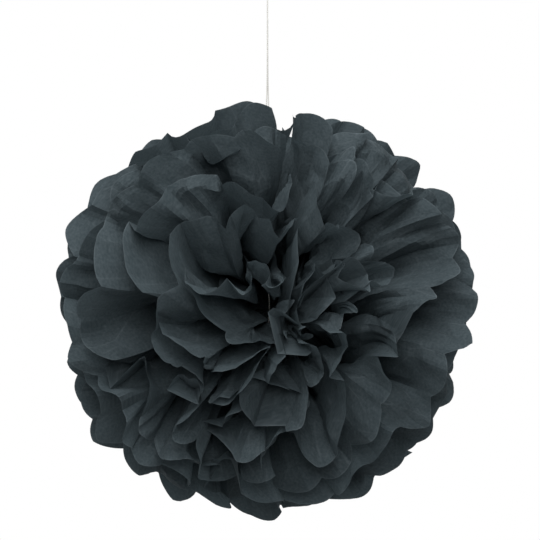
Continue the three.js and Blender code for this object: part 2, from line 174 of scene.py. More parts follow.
# Tips bent over when the ball was opened, from the heart of a face to the equator
BEND_CHANCES = (0.4, 0.25, 0.4, 0.65, 0.75, 0.75)
INWARD_CHANCES = (1.0, 0.8, 0.6, 0.5, 0.5, 0.5)  # the others bend away from the heart
BEND_REACHES = (0.010, 0.045)
BEND_ANGLES = (math.radians(20), math.radians(75))
HEART_REACHES = (0.035, 0.06)
HEART_ANGLES = (math.radians(20), math.radians(45))
BEND_SLANT = math.radians(50)
BEND_BLUNTNESS = 4  # the higher, the closer to the folds a bend reaches

# Wrinkles: heights in metres and waves in each metre of the sheet, across and along
GATHER_HEIGHT = 0.0013  # long wrinkles that run out from the tie
GATHER_WAVES = (95, 12)
CRUMPLE_HEIGHT = 0.0028  # facets that handling leaves
CRUMPLE_WAVES = (44, 36)
CRUMPLE_LEVEL = 0.25  # taken off, so that the facets also dip below the sheet
FLUTTER_HEIGHT = 0.003  # waves of the cut edge
FLUTTER_WAVES = (48, 20)
FLUTTER_REACH = 0.03
NECK_WRINKLES = 0.3
WRINKLES_GROW = (0.05, 0.15)
POLE_CRUSH = 0.9  # more wrinkles in the sheets that are crowded at the poles
WRINKLE_SEEDS = (7.3, 3.1)  # from sheet to sheet, and from side to side
WRINKLE_LAYER = 40  # from one kind of wrinkle to the next

# String
STRING_DIAMETER = 0.0012
STRING_ROUNDNESS = 3  # the higher, the more sides its section has

# Half of its route, which the other half mirrors: across, along the view, and up from the ball's middle
STRING_ROUTE = (
    (-0.0014, -0.0010, 0.020),
    (-0.0015, -0.0006, 0.060),
    (-0.0016, -0.0004, 0.120),
    (-0.0016, -0.0003, 0.175),
    (-0.0011, -0.0005, 0.197),
    (-0.0005, -0.00072, 0.216),
    (-0.0002, -0.00074, 0.235),
    (-0.0001, -0.00074, 0.270),
    (-0.0001, -0.00074, 0.305),
    (-0.0005, -0.00074, 0.313),
    (-0.0024, -0.0006, 0.318),
    (-0.0052, -0.0003, 0.324),
    (-0.0062, -0.0001, 0.329),
    (-0.0050, 0, 0.3332),
    (-0.0027, 0, 0.3351),
)
LOOP_CROWN = (0, 0, HANGING_DROP + STRING_DIAMETER / 2)

# Knot
KNOT_HEIGHT = 0.307
KNOT_SIZE = (0.00062, 0.00078, 0.0012)  # across, along the view, and up
KNOT_POINTS = 24

# Finishes, as linear colours
TISSUE_COLOUR = (0.031, 0.042, 0.047, 1)
TISSUE_FADED = (0.073, 0.091, 0.100, 1)
# pale colour of the worn creases, and of the painted highlight along the cut rim
TISSUE_WORN_AND_HIGHLIGHT = (0.125, 0.150, 0.163, 1)
TISSUE_GLOSS = (0.7, 0.9, 1, 1)
TISSUE_GLOW = (0.110, 0.148, 0.165, 1)  # light from behind
TISSUE_SHEERNESS = 0.2
THREAD_COLOUR = (0.84, 0.83, 0.79, 1)
THREAD_SHADE = (0.58, 0.57, 0.53, 1)

# Marks in the tissue, in each metre of the flat sheet
MOTTLE_SCALE = 55
FIBRE_SCALE = 420
FINE_WRINKLES = (130, 22, 1)
WORN_CELLS = (34, 15, 1)

# Strength of the marks
WORN_WIDTH = 0.025  # of a cell
WORN_STRENGTH = 0.5
# width of the painted highlight along the cut rim
RIM_HIGHLIGHT_WIDTH = 0.0013
FADED_FIBRES = 1.7
TISSUE_RELIEF = 0.0018
MOTTLE_RELIEF = 0.6  # reliefs beside that of the fine wrinkles
FINEST_RELIEF = 0.2

# What changes with the mottle, as a gain and an offset
WORN_PATCHES = (2.4, -0.9)
# the painted highlight along the rim follows the mottle
RIM_HIGHLIGHT_PATCHES = (1.6, -0.4)
FADED_PATCHES = (0.9, -0.9)
TISSUE_ROUGHNESS = (0.2, 0.72)

# Twist of the thread
PLY_SCALE = 190
PLY_SLANT = (0, 0.6, 0.6)
PLY_UNEVENNESS = 0.6
FUZZ_SCALE = 2500
PLY_SHARE = 0.8  # of the colour, and the fuzz has the rest
FUZZ_RELIEF = 0.4
THREAD_RELIEF = 0.0003
THREAD_ROUGHNESS = (0.2, 0.75)  # a gain and an offset of the fuzz

# Camera
CAMERA_DISTANCE = 1.6
IMAGE_SIZE = 540  # pixels each way
PIXEL = 0.00098  # metres at the ball
BALL_PIXEL = (267.5, 308)  # where the string's line and the ball's middle are in the picture
SENSOR = 36

# Lamps: places from the ball's middle, and watts
LAMP_SIZE = 1.0
KEY_PLACE = (-0.12, -0.72, 0.95)
KEY_POWER = 9.8
FILL_PLACE = (0.1, -1.9, 0.6)
FILL_POWER = 15

# Room and floor
ROOM_LIGHT = (0.03, 0.95)  # from the sides and from above
SEEN_RAYS = ("Is Camera Ray", "Is Glossy Ray", "Is Transmission Ray")
WHITE = (1, 1, 1, 1)
FLOOR_COLOUR = (0.86, 0.86, 0.86, 1)
FLOOR_DROP = 1.3  # below the ball's middle
FLOOR_RADIUS = 1.0
FLOOR_FADES = 0.45  # where the fade begins, as a share of the radius
FLOOR_CORNERS = 96

TURN = 2 * math.pi
TINY = 1e-9  # keeps a division from being by nothing


def smoothstep(x, low, high):
    t = np.clip((x - low) / (high - low), 0, 1)
    return t * t * (3 - 2 * t)


def smooth_curve(t, a, b, slope_a, slope_b):
    """A curve from a to b that leaves and arrives with the given slopes."""
    ends = a * (1 + 2 * t) * (1 - t) ** 2 + b * t * t * (3 - 2 * t)
    return ends + slope_a * t * (1 - t) ** 2 - slope_b * t * t * (1 - t)


def pick(span, chance):
    return span[0] + (span[1] - span[0]) * chance


def unit(vectors):
    return vectors / np.maximum(np.linalg.norm(vectors, axis=-1, keepdims=True), TINY)


def make_random(seed):
    """Repeatable random numbers from 0 to 1."""
    state = seed

    def draw():
        nonlocal state
        state = state * RANDOM_FACTOR % RANDOM_MODULUS
        return state / RANDOM_MODULUS

    return draw


def facing(sheet):
    return 1 if sheet < FACE_SHEETS else -1


def node_name(sheet):
    return f"front_sheet_{sheet + 1}" if sheet < FACE_SHEETS else f"back_sheet_{SHEETS - sheet}"


def put_in_scene(name, data):
    thing = bpy.data.objects.new(name, data)
    bpy.context.scene.collection.objects.link(thing)
    return thing


# Folding of the sheets, as in the solids
def draw_runs(draw):
    """Directions and steepness of the panels of one side, in runs up and down the nest."""
    direction, steepness = [], []
    sign = 1 if draw() > 0.5 else -1
    while len(direction) < PANELS_PER_SIDE:
        chance = draw()
        run = SHORTEST_RUN + sum(chance >= limit for limit in RUN_CHANCES)
        direction += [sign] * run
        steepness += [pick(RUN_STEEPNESS, draw())] * run
        sign = -sign
    return direction[:PANELS_PER_SIDE], steepness[:PANELS_PER_SIDE]


def draw_side(draw, runs):
    """One side of a sheet, which strays a little from the runs that all the sheets share."""
    direction, steepness = [], []
    for shared_direction, shared_steepness in zip(*runs):
        direction.append(-shared_direction if draw() < FLIP_CHANCE else shared_direction)
        steepness.append(shared_steepness * pick(PANEL_STEEPNESS, draw()))
    return np.array(steepness), np.array(direction)


def draw_sheet(draw, shared_runs):
    """Everything about a sheet that is left to chance when it is pulled open by hand."""
    sides = [draw_side(draw, runs) for runs in shared_runs]
    twist = (2 * draw() - 1) * MAX_TWIST
    waves = [(count, WAVE_HEIGHT * draw(), TURN * draw()) for count in WAVE_COUNTS]
    lengthening = np.array([pick(REACH_RANGE, draw()) for _ in range(FOLDS)])
    curl = np.array([pick(CURL_RANGE, draw()) for _ in range(FOLDS)])
    notches = (1 - SCALLOP_DEPTH / REACH) * (1 + lengthening)
    return {"sides": sides, "twist": twist, "waves": waves, "notches": notches, "curl": curl}


def pleat_slope(steepness, width, ring, span):
    """The slope that makes the pleated panels of a side fill the span."""
    def covered(slope):
        return np.sum(width / np.hypot(1, slope * steepness)) / ring

    low, high = LEAST_SLOPE, GREATEST_SLOPE
    if covered(low) <= span:
        return low
    for _ in range(SLOPE_HALVINGS):
        middle = (low + high) / 2
        if covered(middle) > span:
            low = middle
        else:
            high = middle
    return high


def meander(climbs):
    """The running sum of the panels' climbs, held near zero."""
    sums = np.concatenate([[0], np.cumsum(climbs)])
    level = sums - sums[-1] * np.arange(FOLDS_PER_SIDE) / PANELS_PER_SIDE
    centred = level - level.mean()
    padded = np.pad(centred, MEANDER_WINDOW, mode="edge")
    window = 2 * MEANDER_WINDOW + 1
    return centred - MEANDER_HOLD * np.convolve(padded, np.ones(window) / window, mode="valid")


def fold_side(plan, sheet, side, s):
    """Angle from the pole and azimuth of the folds of one side of a sheet, on the ring at s."""
    radius = REACH * s
    own = smoothstep(s, *RUFFLES)
    opened = smoothstep(s, *OPENING)
    angle = math.pi / 2 + (PULLED_ANGLES[sheet] - math.pi / 2) * opened
    ring = radius * math.sin(angle)
    width = min(PANEL_WIDTH, NECK_PANEL + CRUSH_RATE * (radius - NECK_RADIUS))
    span = math.pi - SLIT_ANGLE - NECK_SLIT_ANGLE * (1 - smoothstep(s, *NECK_SLIT))
    steepness, direction = plan["sides"][side]
    steepness = 1 + (steepness - 1) * own
    slope = pleat_slope(steepness, width, ring, span)
    arcs = width / np.hypot(1, slope * steepness) / ring
    arcs *= np.clip(span / arcs.sum(), 1, MOST_STRETCH)
    depths = width * np.sin(np.arctan(slope * steepness)) / radius
    ruffle = meander(depths * direction)

    start = math.pi * side - arcs.sum() / 2 + plan["twist"] * smoothstep(s, *TWISTING)
    phi = start + np.concatenate([[0], np.cumsum(arcs)])
    before = np.concatenate([depths[:1], depths])
    after = np.concatenate([depths, depths[-1:]])
    pleat = (-1.0) ** np.arange(FOLDS_PER_SIDE) * (before + after) / 4
    wave = sum(height * np.sin(count * phi + phase) for count, height, phase in plan["waves"])
    curl = plan["curl"][side * FOLDS_PER_SIDE:][:FOLDS_PER_SIDE]
    lean = LEANS[sheet] * np.cos(phi - LEAN_DIRECTION) ** 2 * opened
    theta = (
        angle
        - facing(sheet) * lean
        + pleat * np.sqrt(1 - (1 - PLEAT_MEMORY ** 2) * own ** 2)
        + ruffle * own
        + wave * opened * math.sin(angle)
        + facing(sheet) * curl * TIP_CURL * smoothstep(s, *CURLING)
    )
    return np.clip(theta, POLE_MARGIN, math.pi - POLE_MARGIN), phi


def to_vector(theta, phi, radius):
    flat = radius * np.sin(theta)
    return np.stack([flat * np.cos(phi), flat * np.sin(phi), radius * np.cos(theta)], -1)


# Settling of the sheets against each other
class Ring:
    """The corners of all sheets on one ring: angles from the pole, azimuths and radii."""

    def __init__(self, theta, phi, radius):
        self.theta, self.phi, self.radius = theta, phi, radius

    def pushed(self, sheet, index, angle):
        np.add.at(self.theta[sheet], index, angle)
        np.clip(self.theta[sheet], POLE_MARGIN, math.pi - POLE_MARGIN, out=self.theta[sheet])


class Cut(Ring):
    """The corners on a ring between two others, on the folds and across each panel."""

    def __init__(self, lower, upper, share):
        self.lower, self.upper, self.share = lower, upper, share
        low = to_vector(lower.theta, lower.phi, lower.radius)[:, CUT_LOWER]
        high = to_vector(upper.theta, upper.phi, upper.radius)[:, CUT_UPPER]
        point = low + (high - low) * share
        radius = np.linalg.norm(point, axis=-1)
        start = lower.phi[:, CUT_LOWER]
        turned = np.arctan2(point[..., 1], point[..., 0]) - start
        turned -= TURN * np.round(turned / TURN)
        super().__init__(np.arccos(point[..., 2] / radius), start + turned, radius)

    def pushed(self, sheet, index, angle):
        super().pushed(sheet, index, angle)
        self.lower.pushed(sheet, CUT_LOWER[index], angle * (1 - self.share))
        self.upper.pushed(sheet, CUT_UPPER[index], angle * self.share)


def beside(ring, sheet, phi):
    """Where a sheet passes some azimuths: the corners beside them, shares and angles there."""
    azimuth = ring.phi[sheet]
    wrapped = phi - TURN * np.floor((phi - azimuth[0]) / TURN)
    left = np.searchsorted(azimuth, wrapped, side="right") - 1
    right = (left + 1) % len(azimuth)
    theta, radius = ring.theta[sheet], np.broadcast_to(ring.radius, ring.theta.shape)[sheet]
    flat, up = radius * np.sin(theta), radius * np.cos(theta)
    to_left = flat[left] * np.sin(wrapped - azimuth[left])
    to_right = flat[right] * np.sin(azimuth[right] - wrapped)
    share = np.clip(to_left / np.maximum(to_left + to_right, TINY), 0, 1)
    across_left = flat[left] * np.cos(azimuth[left] - wrapped)
    across_right = flat[right] * np.cos(azimuth[right] - wrapped)
    across = across_left + (across_right - across_left) * share
    height = up[left] + (up[right] - up[left]) * share
    return left, right, share, np.arctan2(across, height)


def part_neighbours(ring, front, gap):
    """Pushes two neighbours apart where a corner of one would pass through the other."""
    for sheet, other, sign in ((front, front + 1, 1), (front + 1, front, -1)):
        left, right, share, theta = beside(ring, other, ring.phi[sheet])
        overlap = sign * (ring.theta[sheet] - theta) + gap
        hit = np.flatnonzero(overlap > 0)
        if not len(hit):
            continue
        step = SETTLING_STEP * sign * overlap[hit]
        ring.pushed(sheet, hit, -step)
        ring.pushed(other, left[hit], step * (1 - share[hit]))
        ring.pushed(other, right[hit], step * share[hit])


def drift_wave(wave, *places):
    *rates, phase = wave
    return np.sin(sum(rate * place for rate, place in zip(rates, places)) + phase)


def drift(points):
    """A gentle drift of the whole nest round the ball, in units of the reach."""
    length = np.linalg.norm(points, axis=-1, keepdims=True)
    grip = smoothstep(length[..., 0], *DRIFTING)
    x, y, z = np.moveaxis(points, -1, 0)
    near_pole = np.exp(-(x * x + y * y) / SWIRL_SPREAD)
    swirl = SWIRL * near_pole * z / np.maximum(length[..., 0], TINY) * grip
    x, y = x * np.cos(swirl) - y * np.sin(swirl), x * np.sin(swirl) + y * np.cos(swirl)
    x = x + SWAY * drift_wave(SWAY_ALONG_YZ, y, z) * grip
    y = y + SWAY * drift_wave(SWAY_ALONG_XZ, x, z) * grip
    z = z + NOD * drift_wave(NOD_ALONG_X, x) * drift_wave(NOD_ALONG_Y, y) * grip
    drifted = np.stack([x, y, z], -1)
    return drifted * length / np.maximum(np.linalg.norm(drifted, axis=-1, keepdims=True), TINY)


def string_place(s):
    """The direction, before the drift, of the place where the vertical string crosses a ring."""
    target = np.array(ATTITUDE.transposed() @ Vector((0, 0, s)))
    place = target.copy()
    for _ in range(STRING_SEARCHES):
        place = place + target - drift(place)
    place[2] /= POLE_FLATTENING
    return math.acos(place[2] / np.linalg.norm(place)), math.atan2(place[1], place[0])


def clear_string(ring, s):
    """Keeps the middle pair of sheets on their own sides of the string."""
    string_theta, string_phi = string_place(s)
    room = STRING_CLEARANCE / (REACH * s)
    for sheet, sign in ((FACE_SHEETS - 1, 1), (FACE_SHEETS, -1)):
        left, right, _, theta = beside(ring, sheet, np.array([string_phi]))
        overlap = sign * (theta - string_theta) + room
        if overlap[0] > 0:
            ring.pushed(sheet, left, -sign * overlap)
            ring.pushed(sheet, right, -sign * overlap)


def settle(ring, s):
    """Settles the sheets against each other on one ring."""
    gap = NEST_ANGLE + NEST_GAP / (REACH * s) * smoothstep(s, *LOOSENING)
    for front in range(SHEETS - 1):
        part_neighbours(ring, front, gap)
    if s > STRING_BEGINS:
        clear_string(ring, s)


def close_slits(ring, s):
    """Spreads the panels until the edges of both sides nearly meet: all at the neck, the last at the rim."""
    ends = np.array([FOLDS_PER_SIDE - 1, FOLDS - 1])
    starts = np.array([FOLDS_PER_SIDE, 0])
    share = (ring.phi[:, starts] + (0, TURN) - ring.phi[:, ends] - SLIT_LEFT) / 2
    panels = PANELS_PER_SIDE / 2
    if s > NECK_ENDS:
        share = np.clip(share, 0, WIDEST_CLOSINGS)
        panels = CLOSING_PANELS
    for step in range(math.ceil(panels)):
        ring.phi[:, ends - step] += share * (1 - step / panels)
        ring.phi[:, starts + step] -= share * (1 - step / panels)


def settled_rings(plans):
    """All the folds on the listed rings, settled there and on the way between."""
    rings = []
    for s in RINGS:
        sides = [[fold_side(plan, k, side, s) for side in (0, 1)] for k, plan in enumerate(plans)]
        theta, phi = (np.array([np.concatenate([a[i], b[i]]) for a, b in sides]) for i in (0, 1))
        rings.append(Ring(theta, phi, np.full_like(theta, REACH * s)))
    for _ in range(SETTLING_ROUNDS):
        for i, ring in enumerate(rings):
            settle(ring, RINGS[i])
            if i == OUTER:
                break
            for share in SHARES_BETWEEN:
                settle(Cut(ring, rings[i + 1], share), RINGS[i] + (RINGS[i + 1] - RINGS[i]) * share)
    for ring, s in zip(rings, RINGS):
        close_slits(ring, s)
    return rings


# Fine shape of the sheets
def fold_points(knots, s):
    """Points at s on a fold that runs smoothly through its places on the rings."""
    ring_s = np.array(RINGS)
    below = np.clip(np.searchsorted(ring_s, s, side="right") - 1, 0, OUTER - 1)
    slopes = np.gradient(knots, ring_s, axis=0)
    step = (ring_s[below + 1] - ring_s[below])[..., None]
    t = (s - ring_s[below])[..., None] / step
    low, high = knots[below], knots[below + 1]
    straight = low + (high - low) * t
    curved = smooth_curve(t, low, high, step * slopes[below], step * slopes[below + 1])
    return straight + FOLD_CURVE * (curved - straight)


def side_grid(plan, rings, sheet, side, draw):
    """Fine points of one side of a sheet, before the drift: columns by rows, with flat places."""
    first = side * FOLDS_PER_SIDE
    knots = np.stack([to_vector(r.theta[sheet], r.phi[sheet], r.radius[sheet]) for r in rings], 1)
    softness = [pick(FOLD_SOFTNESS, draw()) for _ in range(FOLDS_PER_SIDE)]
    lengths = [draw() ** LONG_PETALS for _ in range(PANELS_PER_SIDE)]
    rows = np.linspace(0, 1, ROWS) ** ROW_SPACING
    columns, flat = [], []
    for column in range(COLUMNS):
        panel = min(column // COLUMNS_PER_PANEL, PANELS_PER_SIDE - 1)
        x = (column - panel * COLUMNS_PER_PANEL) / COLUMNS_PER_PANEL
        near = [first + np.clip(panel + i, 0, PANELS_PER_SIDE) for i in (-1, 0, 1, 2)]
        notch = pick(plan["notches"][near[1:3]], x)
        depth = SCALLOP_DEPTH / REACH * pick(PETAL_DEPTHS, lengths[panel])
        rim = notch + depth * (1 - abs(2 * x - 1) ** pick(PETAL_POWERS, lengths[panel]))
        s = RINGS[0] + (rim - RINGS[0]) * rows
        before, a, b, after = (fold_points(knots[fold], s) for fold in near)
        slope_a = pick((b - a, (b - before) / 2), softness[panel])
        slope_b = pick((b - a, (after - a) / 2), softness[panel + 1])
        free = smoothstep(s, *FOLD_FREE)[:, None]
        columns.append(pick((pick((a, b), x), smooth_curve(x, a, b, slope_a, slope_b)), free))
        across = np.full(ROWS, (panel + x) * PANEL_WIDTH)
        flat.append(np.stack([across, s * REACH, (rim - s) * REACH], -1))
    return np.array(columns), np.array(flat)


def cut_area(plan):
    """Flat area of a sheet, whose ends are cut round panel by panel."""
    scallop = SCALLOP_DEPTH / REACH * SCALLOP_POWER / (SCALLOP_POWER + 1)
    reach = 0
    for side in (0, 1):
        notches = plan["notches"][side * FOLDS_PER_SIDE:][:FOLDS_PER_SIDE]
        reach += np.mean(notches[1:] + notches[:-1]) / 2 + scallop
    return float(FLAT_SIZE[0] * REACH * reach)


def petal_creases(flat, sheet, draw):
    """How far each place is raised by creases and bent tips, and how far it is drawn in by them."""
    across, along, to_rim = np.moveaxis(flat, -1, 0)
    rank = min(sheet, SHEETS - 1 - sheet)
    reaches, bends = (BEND_REACHES, BEND_ANGLES) if rank else (HEART_REACHES, HEART_ANGLES)
    raised, drawn_in = np.zeros_like(across), np.zeros_like(across)
    for panel in range(PANELS_PER_SIDE):
        x = across / PANEL_WIDTH - panel
        inside = (x > 0) & (x < 1)
        knots = [0, *(round(pick(span, draw())) / COLUMNS_PER_PANEL for span in CREASE_COLUMNS), 1]
        levels = [0, *(CREASE_HEIGHTS[rank] * (2 * draw() - 1) for _ in CREASE_COLUMNS), 0]
        facets = np.interp(x, knots, levels) * smoothstep(along / REACH, *CREASE_FREE)
        bent = pick(bends, draw()) if draw() < BEND_CHANCES[rank] else 0
        inward = 1 if draw() < INWARD_CHANCES[rank] else -1
        reach = pick(reaches, draw())
        slant = BEND_SLANT * (2 * draw() - 1)
        beyond = reach - to_rim * math.cos(slant) + (x - 0.5) * PANEL_WIDTH * math.sin(slant)
        tip = np.maximum(beyond, 0) * (1 - (2 * x - 1) ** BEND_BLUNTNESS)
        raised += np.where(inside, facets + inward * facing(sheet) * tip * math.sin(bent), 0)
        drawn_in += np.where(inside, tip * (1 - math.cos(bent)), 0)
    return raised, drawn_in


def wrinkle(flat, seed):
    """Height of the wrinkles of the tissue, at a place of the flat sheet."""
    across, along, to_rim = flat

    def waves(span, layer):
        return Vector((across * span[0], along * span[1], seed + layer * WRINKLE_LAYER))

    gather = noise.noise(waves(GATHER_WAVES, 0))
    near, second = noise.voronoi(waves(CRUMPLE_WAVES, 1))[0][:2]
    crumple = CRUMPLE_HEIGHT * (second - near - CRUMPLE_LEVEL)
    flutter = noise.noise(waves(FLUTTER_WAVES, 2)) * max(0.0, 1 - to_rim / FLUTTER_REACH)
    loose = pick((NECK_WRINKLES, 1), float(smoothstep(along, *WRINKLES_GROW)))
    return loose * (GATHER_HEIGHT * gather + crumple) + FLUTTER_HEIGHT * flutter


def sheet_points(plan, rings, sheet):
    """Fine points of a sheet and their flat places: the one in the tie, then those of both sides."""
    draw = make_random(PETAL_SEEDS[0] + PETAL_SEEDS[1] * sheet)
    height = ((SHEETS - 1) / 2 - sheet) * STACK_PITCH
    crush = 1 + POLE_CRUSH * abs(math.cos(PULLED_ANGLES[sheet]))
    points, flats = [(0, 0, height)], [(0, 0, REACH)]
    for side in (0, 1):
        grid, flat = side_grid(plan, rings, sheet, side, draw)
        grid = grid * (1, 1, POLE_FLATTENING) + (0, 0, height)
        grid = drift(grid / REACH) * REACH
        along, across = np.gradient(grid, axis=1), np.gradient(grid, axis=0)
        seed = WRINKLE_SEEDS[0] * sheet + WRINKLE_SEEDS[1] * side
        wrinkles = np.array([wrinkle(place, seed) for place in flat.reshape(-1, 3)]) * crush
        raised, drawn_in = petal_creases(flat, sheet, draw)
        raised = raised + wrinkles.reshape(raised.shape)
        grid = grid + unit(np.cross(along, across)) * raised[..., None] - unit(along) * drawn_in[..., None]
        points.append(grid.reshape(-1, 3))
        flats.append((flat + (side * 2 * FLAT_SIZE[0], 0, 0)).reshape(-1, 3))
    world = np.vstack(points) @ np.array(ATTITUDE).T + np.array(BALL_CENTRE)
    return world, np.vstack(flats)


def sheet_faces():
    """Faces over the points of a sheet: a grid on each side, and the gathered middle round the tie."""
    def vertex(side, column, row):
        return 1 + (side * COLUMNS + column) * ROWS + row

    faces = []
    for side in (0, 1):
        for column in range(COLUMNS - 1):
            faces.append((0, vertex(side, column, 0), vertex(side, column + 1, 0)))
            for row in range(ROWS - 1):
                faces.append((
                    vertex(side, column, row),
                    vertex(side, column, row + 1),
                    vertex(side, column + 1, row + 1),
                    vertex(side, column + 1, row),
                ))
        faces.append((0, vertex(side, COLUMNS - 1, 0), vertex(1 - side, 0, 0)))
    return faces


def sheet_piece(name, plan, rings, sheet):
    """One fine pleated sheet, with its flat places and its distance to the rim for the material."""
    points, flat = sheet_points(plan, rings, sheet)
    mesh = bpy.data.meshes.new(name)
    mesh.from_pydata(points.tolist(), [], sheet_faces())
    index = np.zeros(len(mesh.loops), int)
    mesh.loops.foreach_get("vertex_index", index)
    for layer, axes in (("flat_place", (0, 1)), ("rim_distance", (0, 2))):
        mesh.uv_layers.new(name=layer).data.foreach_set("uv", flat[index][:, axes].ravel())
    mesh.polygons.foreach_set("use_smooth", np.ones(len(mesh.polygons), bool))
    mesh.set_sharp_from_angle(angle=CREASE_ANGLE)
    return put_in_scene(name, mesh)


def make_sheets(material):
    """The sheets of the ball, from the heart of the front face to the heart of the back face."""
    draw = make_random(RANDOM_SEED)
    shared_runs = [draw_runs(draw), draw_runs(draw)]
    plans = [draw_sheet(draw, shared_runs) for _ in range(SHEETS)]
    rings = settled_rings(plans)
    for sheet, plan in enumerate(plans):
        node = node_name(sheet)
        piece = sheet_piece("tissue_" + node, plan, rings, sheet)
        piece.data.materials.append(material)
        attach(piece, "root")
        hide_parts(node)
        cut_area(plan)


# String and knot
def curve_piece(name, points, material, closed=False):
    curve = bpy.data.curves.new(name, "CURVE")
    curve.dimensions = "3D"
    curve.bevel_depth = STRING_DIAMETER / 2
    curve.bevel_resolution = STRING_ROUNDNESS
    curve.use_fill_caps = True
    spline = curve.splines.new("BEZIER")
    spline.bezier_points.add(len(points) - 1)
    spline.use_cyclic_u = closed
    for knot, point in zip(spline.bezier_points, points):
        knot.co = point
        knot.handle_left_type = knot.handle_right_type = "AUTO"
    curve.materials.append(material)
    return put_in_scene(name, curve)


def route_length(points):
    return sum((b - a).length for a, b in zip(points, points[1:]))


def knot_point(turned):
    """A point of the knot, which is a trefoil round the string."""
    across = math.sin(turned) + 2 * math.sin(2 * turned)
    along = math.cos(turned) - 2 * math.cos(2 * turned)
    down = math.sin(3 * turned)
    place = (KNOT_SIZE[0] * across, KNOT_SIZE[1] * along, KNOT_HEIGHT - KNOT_SIZE[2] * down)
    return BALL_CENTRE + Vector(place)


def make_string(material):
    """The string, up one strand, round the loop and down the other, with the knot on it."""
    up = [BALL_CENTRE + Vector(p) for p in STRING_ROUTE]
    down = [BALL_CENTRE + Vector((-x, -y, z)) for x, y, z in reversed(STRING_ROUTE)]
    route = [*up, BALL_CENTRE + Vector(LOOP_CROWN), *down]
    knot_route = [knot_point(TURN * i / KNOT_POINTS) for i in range(KNOT_POINTS)]
    string = curve_piece("thread_string", route, material)
    knot = curve_piece("thread_knot", knot_route, material, closed=True)
    for piece, node in ((string, "hanging_string"), (knot, "string_knot")):
        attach(piece, "root")
        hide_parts(node)
    route_length(route)


def cover_tie(material):
    """The tie keeps its solid and takes the look of the thread."""
    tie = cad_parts["centre_tie"].data
    tie.materials.clear()
    tie.materials.append(material)


# Shader maths
class Value:
    """A socket in a node tree, with operators that add Math nodes."""

    def __init__(self, nodes, socket):
        self.nodes, self.socket = nodes, socket

    def _math(self, operation, *operands):
        return self.nodes.add("ShaderNodeMath", {"operation": operation}, dict(enumerate(operands)))

    def __add__(self, other):
        return self._math("ADD", self, other)

    def __sub__(self, other):
        return self._math("SUBTRACT", self, other)

    def __rsub__(self, other):
        return self._math("SUBTRACT", other, self)

    def __mul__(self, other):
        return self._math("MULTIPLY", self, other)

    __radd__ = __add__
    __rmul__ = __mul__

    def larger(self, other):
        return self._math("MAXIMUM", self, other)


class Nodes:
    """A node tree, with one method that adds any node."""

    def __init__(self, tree):
        self.tree = tree
        tree.nodes.clear()

    def add(self, kind, settings=None, sockets=None, output=0):
        node = self.tree.nodes.new(kind)
        for name, value in (settings or {}).items():
            setattr(node, name, value)
        for name, value in (sockets or {}).items():
            if isinstance(value, Value):
                self.tree.links.new(value.socket, node.inputs[name])
            else:
                node.inputs[name].default_value = value
        return Value(self, node.outputs[output]) if node.outputs else None


def new_material(name):
    material = bpy.data.materials.new(name)
    material.use_nodes = True
    return material, Nodes(material.node_tree)


def mix_colour(nodes, factor, a, b):
    return nodes.add("ShaderNodeMix", {"data_type": "RGBA"}, {0: factor, 6: a, 7: b}, output=2)


# Finishes
def tissue_material():
    """Thin matte tissue that lets some light through: fibres, worn creases and a painted highlight along the
    cut edge.
    """
    material, nodes = new_material("tissue_paper")
    place = nodes.add("ShaderNodeUVMap", {"uv_map": "flat_place"})
    rim = nodes.add("ShaderNodeUVMap", {"uv_map": "rim_distance"})
    to_rim = nodes.add("ShaderNodeSeparateXYZ", None, {0: rim}, output="Y")

    def noise_at(scale, detail, vector=place):
        return nodes.add("ShaderNodeTexNoise", None, {"Vector": vector, "Scale": scale, "Detail": detail})

    def stretched(scale):
        return nodes.add("ShaderNodeMapping", None, {"Vector": place, "Scale": scale})

    def fall(value, end):
        ends = {"From Max": end, "To Min": 1, "To Max": 0}
        return nodes.add("ShaderNodeMapRange", None, {"Value": value, **ends})

    mottle = noise_at(MOTTLE_SCALE, 4)

    def mottled(gain, offset):
        return mottle * gain + offset

    fibre = noise_at(FIBRE_SCALE, 3)
    wrinkles = noise_at(1, 3, stretched(FINE_WRINKLES))
    cells = nodes.add(
        "ShaderNodeTexVoronoi",
        {"feature": "DISTANCE_TO_EDGE"},
        {"Vector": stretched(WORN_CELLS), "Scale": 1},
    )
    worn = fall(cells, WORN_WIDTH) * mottled(*WORN_PATCHES)
    # painted highlight: the colour is lightened in a thin band along the cut rim
    edge = fall(to_rim, RIM_HIGHLIGHT_WIDTH) * mottled(*RIM_HIGHLIGHT_PATCHES)
    faded = mottled(*FADED_PATCHES) + fibre * FADED_FIBRES
    colour = mix_colour(nodes, faded, TISSUE_COLOUR, TISSUE_FADED)
    # the worn creases and the painted rim highlight both lighten the tissue towards one pale colour
    colour = mix_colour(nodes, worn * WORN_STRENGTH + edge, colour, TISSUE_WORN_AND_HIGHLIGHT)
    height = wrinkles + mottle * MOTTLE_RELIEF + (fibre + worn) * FINEST_RELIEF
    bump = nodes.add("ShaderNodeBump", None, {"Strength": 0.7, "Distance": TISSUE_RELIEF, "Height": height})
    paper = nodes.add("ShaderNodeBsdfPrincipled", None, {
        "Base Color": colour,
        "Roughness": mottled(*TISSUE_ROUGHNESS),
        "Normal": bump,
        "Specular IOR Level": 0.2,
        "Specular Tint": TISSUE_GLOSS,
    })
    glow = nodes.add("ShaderNodeBsdfTranslucent", None, {"Color": TISSUE_GLOW})
    shader = nodes.add("ShaderNodeMixShader", None, {0: TISSUE_SHEERNESS, 1: paper, 2: glow})
    nodes.add("ShaderNodeOutputMaterial", None, {"Surface": shader})
    return material


